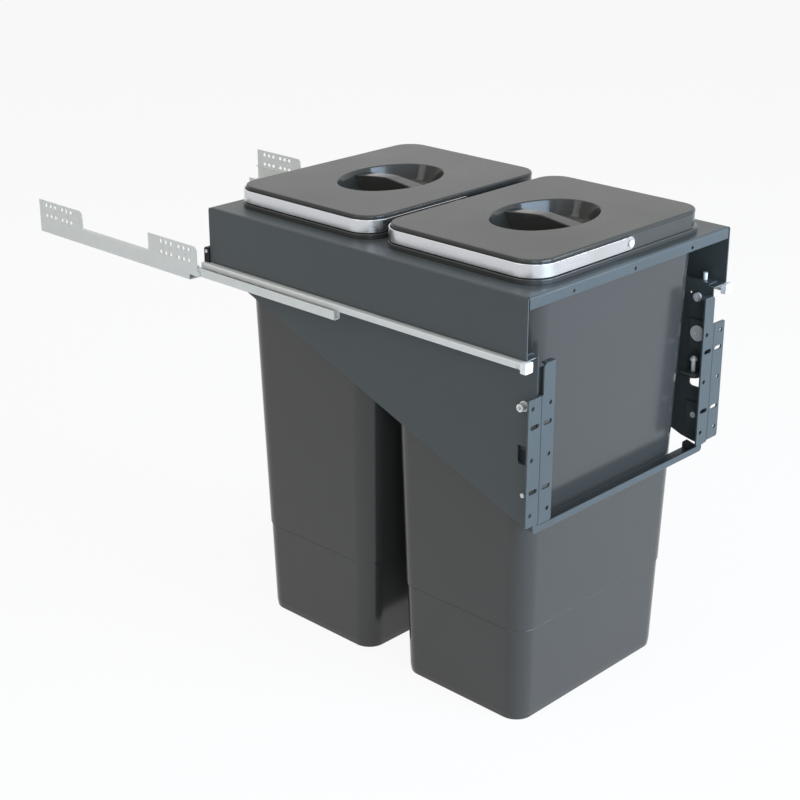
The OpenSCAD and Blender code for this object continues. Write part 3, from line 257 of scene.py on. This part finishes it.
def grip_bar(end):
    """The bar across the pocket: sections across it, carried from wall to wall. Its half width grows from
    the waist with the square of the distance, and its top falls to both sides of a soft ridge, by
    fall (sqrt(y^2 + ridge^2) - ridge). Each foot stays just inside the pocket's skin."""
    inside = eased(pocket_line(0), POCKET_EASE, 9)
    wall_y, wall_z = OVAL_HALF[1] - inside[:, 0], inside[:, 1]
    t = np.sin(np.linspace(-math.pi / 2, math.pi / 2, 45))
    y = t * GRIP_REACH
    foot = np.maximum(np.interp(np.abs(y), wall_y, wall_z) - 1.2, POCKET_FLOOR - 0.4)
    crest = np.maximum(GRIP_CROWN - GRIP_FALL * (np.hypot(y, GRIP_RIDGE) - GRIP_RIDGE), foot + 0.6)
    half = GRIP_HALF_W[0] + (GRIP_HALF_W[1] - GRIP_HALF_W[0]) * t ** 2
    edge = np.minimum(GRIP_EDGE, (crest - foot) * 0.45)[:, None]
    turn = np.linspace(0, math.pi / 2, 7)
    flare = np.array([1.6, 0.8, 0.3, 0.05, 0.0])
    lift = np.array([0.0, 0.5, 1.3, 2.6, 3.6]) / 10
    flares = np.broadcast_to(flare, (len(y), len(flare)))
    x = half[:, None] + np.concatenate([flares, -edge * (1 - np.cos(turn))], axis=1)
    tall = np.minimum(crest - foot, 10)[:, None]
    z = np.concatenate([foot[:, None] + tall * lift, crest[:, None] - edge * (1 - np.sin(turn))], axis=1)
    x, z = np.concatenate([x, -x[:, ::-1]], axis=1), np.concatenate([z, z[:, ::-1]], axis=1)
    return skin("grip_bar_" + end, x, np.broadcast_to(y[:, None], x.shape) + middle_y(end), z, lid_plastic,
                "lid_" + end, "lid_plastic")


def carrying_bail(end):
    """A bail: a flat section with rounded edges carried along the U of straight arms and quarter circles.
    Beyond the pivot its half height falls as sqrt(h^2 - s^2), so that each arm ends in a half circle."""
    mid_x, mid_y = BAIL_MID
    quarter = np.linspace(0, math.pi / 2, 17)
    past = BAIL_HALF_H * np.sin(np.linspace(math.pi / 2, 0, 12))
    arm_x = np.concatenate([PIVOT[0] + past, np.linspace(PIVOT[0] - 3, -mid_x + BAIL_CORNER + 3, 8)])
    bend_x, bend_y = -mid_x + BAIL_CORNER, mid_y - BAIL_CORNER
    x = np.concatenate([arm_x, bend_x - BAIL_CORNER * np.sin(quarter), np.full(4, -mid_x)])
    y = np.concatenate([np.full(len(arm_x), mid_y), bend_y + BAIL_CORNER * np.cos(quarter),
                        np.linspace(bend_y - 3, bend_y / 3, 4)])
    out_x = np.concatenate([np.zeros(len(arm_x)), -np.sin(quarter), np.full(4, -1.0)])
    out_y = np.concatenate([np.ones(len(arm_x)), np.cos(quarter), np.zeros(4)])
    round_end = np.sqrt(np.maximum(BAIL_HALF_H ** 2 - past ** 2, 0.36))
    half = np.concatenate([round_end, np.full(len(x) - len(past), BAIL_HALF_H)])
    x, y, out_x, out_y, half = (np.concatenate([v, s * v[::-1]]) for v, s in
                                ((x, 1), (y, -1), (out_x, 1), (out_y, -1), (half, 1)))
    turn = np.linspace(0, math.pi / 2, 5)
    aside = BAIL_THICK / 2 - BAIL_EDGE * (1 - np.cos(turn))
    drop = -BAIL_EDGE * (1 - np.sin(turn))
    side = np.concatenate([aside, -aside[::-1], -aside, aside[::-1]])
    sign = np.repeat([1.0, 1.0, -1.0, -1.0], 5)
    down = np.concatenate([drop, drop[::-1], drop, drop[::-1]])
    z = PIVOT[1] + sign * (half[:, None] + down)
    return skin("carrying_bail_" + end, x[:, None] + out_x[:, None] * side,
                y[:, None] + out_y[:, None] * side + middle_y(end), z, bail_aluminium, "bail_" + end,
                "bail_aluminium", "bail_" + end)


# Shader building

def new_material(name):
    """An empty node material with its Principled shader wired to the output."""
    material = bpy.data.materials.new(name)
    material.use_nodes = True
    tree = material.node_tree
    tree.nodes.clear()
    out = tree.nodes.new("ShaderNodeOutputMaterial")
    shader = tree.nodes.new("ShaderNodeBsdfPrincipled")
    tree.links.new(shader.outputs[0], out.inputs[0])
    return material, tree, shader


def add(tree, kind, **values):
    """A node of that kind; values name its sockets or its settings, and may be sockets to link."""
    node = tree.nodes.new(kind)
    for key, value in values.items():
        if key in node.inputs.keys():
            feed(tree, node.inputs[key], value)
        elif key.startswith("in_"):
            feed(tree, node.inputs[int(key[3:])], value)
        else:
            setattr(node, key, value)
    return node


def feed(tree, socket, value):
    """A value goes on the socket itself and another socket is linked to it."""
    if isinstance(value, bpy.types.NodeSocket):
        tree.links.new(value, socket)
    else:
        socket.default_value = value


def place(tree, stretch=(1, 1, 1)):
    """The object's own coordinates in metres, stretched along the axes."""
    coordinates = add(tree, "ShaderNodeTexCoord")
    return add(tree, "ShaderNodeMapping", Vector=coordinates.outputs["Object"], Scale=stretch).outputs[0]


def noise(tree, where, scale, detail=3.0, roughness=0.55):
    """Noise at that many waves to the metre, from 0 to 1."""
    return add(tree, "ShaderNodeTexNoise", Vector=where, Scale=scale, Detail=detail,
               Roughness=roughness).outputs[0]


def spread(tree, value, low, high, start=0.3, end=0.7):
    """value from start to end, carried to low and high."""
    return add(tree, "ShaderNodeMapRange", Value=value, in_1=start, in_2=end, in_3=low, in_4=high).outputs[0]


def two_tones(tree, factor, dark, light):
    """A colour between the two tones, each a colour or a socket."""
    dark, light = ((*v, 1) if isinstance(v, tuple) else v for v in (dark, light))
    return add(tree, "ShaderNodeMix", data_type="RGBA", in_0=factor, in_6=dark, in_7=light).outputs[2]


def linear(colour):
    """The linear value of a colour written as it looks on the screen, from 0 to 255."""
    c = np.asarray(colour, float) / 255
    return tuple(float(v) for v in np.where(c <= 0.04045, c / 12.92, ((c + 0.055) / 1.055) ** 2.4))


def edges_met(tree, reach):
    """The normal eased over edges within reach, and 1 where it leaves the face's own normal, 0 on flats."""
    eased_normal = add(tree, "ShaderNodeBevel", samples=4, Radius=reach * MM).outputs[0]
    own = add(tree, "ShaderNodeNewGeometry").outputs["Normal"]
    same = add(tree, "ShaderNodeVectorMath", operation="DOT_PRODUCT", in_0=eased_normal,
               in_1=own).outputs["Value"]
    return eased_normal, spread(tree, same, 1.0, 0.0, 0.8, 0.99)


def finish(name, tone, variation, rough, metal=0.0, grain=600.0, grain_depth=0.02, stretch=(1, 1, 1),
           mottle=18.0, edge=0.0, worn=None, worn_share=0.5, shine=0.5, gloss_below=None):
    """A finish: tone varied by broad mottling, roughness between two values, a fine grain as bump, and edges
    that are eased within `edge` millimetres and rubbed towards the tone `worn` in broken stretches. Below
    the height `gloss_below` the surface is polished."""
    material, tree, shader = new_material(name)
    where = place(tree)
    along = place(tree, stretch)
    base = np.array(linear(tone))
    broad = noise(tree, where, mottle, 2.0)
    fine = noise(tree, along, grain, 3.0)
    colour = two_tones(tree, broad, tuple(base * (1 - variation)), tuple(np.minimum(base * (1 + variation), 1)))
    bump = add(tree, "ShaderNodeBump", Height=fine, Strength=1.0, Distance=grain_depth * MM)
    if edge:
        eased_normal, rubbed = edges_met(tree, edge)
        feed(tree, bump.inputs["Normal"], eased_normal)
        if worn:
            broken = spread(tree, noise(tree, where, 160.0, 2.0), 0.0, worn_share, 0.42, 0.66)
            amount = add(tree, "ShaderNodeMath", operation="MULTIPLY", in_0=rubbed, in_1=broken).outputs[0]
            colour = two_tones(tree, amount, colour, linear(worn))
    feed(tree, shader.inputs["Base Color"], colour)
    mixed = add(tree, "ShaderNodeMath", operation="MULTIPLY", in_0=broad, in_1=fine).outputs[0]
    roughness = spread(tree, mixed, rough[0], rough[1], 0.1, 0.45)
    if gloss_below:
        height = add(tree, "ShaderNodeSeparateXYZ", in_0=where).outputs[2]
        share = spread(tree, height, 0.35, 1.0, (gloss_below - 0.6) * MM, gloss_below * MM)
        roughness = add(tree, "ShaderNodeMath", operation="MULTIPLY", in_0=roughness, in_1=share).outputs[0]
    feed(tree, shader.inputs["Roughness"], roughness)
    feed(tree, shader.inputs["Normal"], bump.outputs[0])
    shader.inputs["Metallic"].default_value = metal
    shader.inputs["Specular IOR Level"].default_value = shine
    return material


painted_steel = finish("dark_powder_coat", (72, 78, 79), 0.05, (0.28, 0.42), grain=1400, grain_depth=0.012,
                       edge=0.5, worn=(98, 104, 106), worn_share=0.4, shine=0.3)
zinc_steel = finish("zinc_plated_sheet", (222, 223, 219), 0.04, (0.4, 0.54), metal=0.2, grain=260,
                    grain_depth=0.015, stretch=(1, 0.1, 1), mottle=60, edge=0.35, worn=(224, 225, 224))
white_plastic = finish("white_moulded_plastic", (250, 250, 249), 0.015, (0.35, 0.45), grain=900, edge=0.5,
                       worn=(254, 254, 254))
black_plastic = finish("black_moulded_plastic", (24, 24, 25), 0.1, (0.35, 0.5), grain=900, edge=0.5,
                       worn=(52, 52, 53))
screw_steel = finish("bright_zinc_screws", (226, 226, 224), 0.05, (0.34, 0.48), metal=0.15,
                     grain=700, edge=0.35,
                     worn=(222, 223, 224))
bin_plastic = finish("dark_grey_polypropylene", (61, 60, 58), 0.04, (0.14, 0.22), grain=500, grain_depth=0.006,
                     mottle=9, shine=0.45)
lid_plastic = finish("satin_grey_polypropylene", (60, 60, 57), 0.03, (0.24, 0.34), grain=1600,
                     grain_depth=0.006, mottle=12, shine=0.26, gloss_below=LID_TOP - 0.15)
bail_aluminium = finish("satin_aluminium_strip", (206, 208, 211), 0.03, (0.2, 0.32), metal=1.0, grain=45,
                        grain_depth=0.006, stretch=(0.4, 0.4, 40), mottle=30)

FINISHES = {"painted_steel": painted_steel, "zinc_steel": zinc_steel, "white_plastic": white_plastic,
            "black_plastic": black_plastic, "screw_steel": screw_steel, "bin_plastic": bin_plastic,
            "lid_plastic": lid_plastic, "bail_aluminium": bail_aluminium}
SLOT_OF = {part["node"]: part["material_slot"] for part in frame["record"]["subparts"]}

for node_name, node_object in NODES.items():
    for slot in node_object.material_slots:
        slot.link = "OBJECT"
        slot.material = FINISHES[SLOT_OF[node_name]]

for which in ENDS:
    moulded_bin(which)
    satin_lid(which)
    grip_bar(which)
    carrying_bail(which)


# Studio

def softbox(name, place_at, aim_at, size, watts, colour=(1, 1, 1)):
    """A plain square area lamp that faces a point."""
    lamp = bpy.data.lights.new(name, "AREA")
    lamp.shape = "RECTANGLE"
    lamp.size, lamp.size_y = size
    lamp.energy = watts
    lamp.color = colour
    obj = bpy.data.objects.new(name, lamp)
    bpy.context.collection.objects.link(obj)
    direction = np.subtract(aim_at, place_at)
    obj.location = place_at
    obj.rotation_euler = (math.atan2(math.hypot(direction[0], direction[1]), -direction[2]), 0,
                          math.atan2(direction[0], -direction[1]) + math.pi)


def background_rays(tree):
    """1 for rays that the camera sends, straight, mirrored or through glass, and 0 for the light's own."""
    path = add(tree, "ShaderNodeLightPath")
    seen = add(tree, "ShaderNodeMath", operation="MAXIMUM", in_0=path.outputs["Is Camera Ray"],
               in_1=path.outputs["Is Glossy Ray"]).outputs[0]
    return add(tree, "ShaderNodeMath", operation="MAXIMUM", in_0=seen,
               in_1=path.outputs["Is Transmission Ray"]).outputs[0]


def studio_world():
    """A world that is white to look at and lights the object with a soft grey."""
    world = bpy.data.worlds.new("studio")
    bpy.context.scene.world = world
    world.use_nodes = True
    tree = world.node_tree
    tree.nodes.clear()
    strength = spread(tree, background_rays(tree), 0.18, 1.0, 0.0, 1.0)
    glow = add(tree, "ShaderNodeBackground", Color=(1, 1, 1, 1), Strength=strength)
    out = add(tree, "ShaderNodeOutputWorld")
    tree.links.new(glow.outputs[0], out.inputs[0])


def studio_floor(half=6.0):
    """A flat pale floor under the unit that stays white to look at and keeps a faint shadow."""
    corners = [(-half, -half, 0), (half, -half, 0), (half, half, 0), (-half, half, 0)]
    mesh = bpy.data.meshes.new("floor")
    mesh.from_pydata([(x, y, -0.0005) for x, y, _ in corners], [], [(0, 1, 2, 3)])
    obj = bpy.data.objects.new("floor", mesh)
    bpy.context.collection.objects.link(obj)
    material = bpy.data.materials.new("pale_floor")
    material.use_nodes = True
    tree = material.node_tree
    tree.nodes.clear()
    matt = add(tree, "ShaderNodeBsdfDiffuse", Color=(0.9, 0.9, 0.9, 1))
    glow = add(tree, "ShaderNodeEmission", Color=(1, 1, 1, 1), Strength=1.0)
    share = add(tree, "ShaderNodeMath", operation="MULTIPLY", in_0=background_rays(tree), in_1=0.92).outputs[0]
    mix = add(tree, "ShaderNodeMixShader", in_0=share, in_1=matt.outputs[0], in_2=glow.outputs[0])
    out = add(tree, "ShaderNodeOutputMaterial")
    tree.links.new(mix.outputs[0], out.inputs[0])
    mesh.materials.append(material)


def photograph_camera():
    """The camera where the photograph was taken from, fitted to the unit's corners, screw holes and edges."""
    camera = bpy.data.cameras.new("camera")
    camera.sensor_width = 36
    camera.lens = 76.63
    camera.clip_start, camera.clip_end = 0.05, 50
    obj = bpy.data.objects.new("camera", camera)
    obj.location = (-1.357549, -1.357637, 1.014086)
    obj.rotation_euler = (math.radians(68.162), 0, math.radians(-46.209))
    bpy.context.collection.objects.link(obj)
    bpy.context.scene.camera = obj


photograph_camera()
studio_world()
studio_floor()
softbox("top_softbox", (-0.3, 0.2, 2.6), (0, 0, 0.4), (2.4, 2.4), 17, (1.0, 0.98, 0.93))
softbox("front_softbox", (0.4, -2.7, 0.95), (0, -0.3, 0.3), (1.8, 1.5), 120, (0.58, 0.77, 1.0))
softbox("camera_side_softbox", (-1.7, -2.2, 1.0), (0, -0.1, 0.3), (0.8, 1.4), 14, (0.8, 0.9, 1.0))
softbox("right_window", (2.1, -2.5, 0.75), (0, -0.2, 0.45), (0.4, 0.8), 14, (0.85, 0.93, 1.0))
softbox("left_softbox", (-2.4, 0.3, 2.2), (0, 0, 0.3), (1.2, 1.2), 14)
bpy.context.scene.view_settings.view_transform = "Standard"
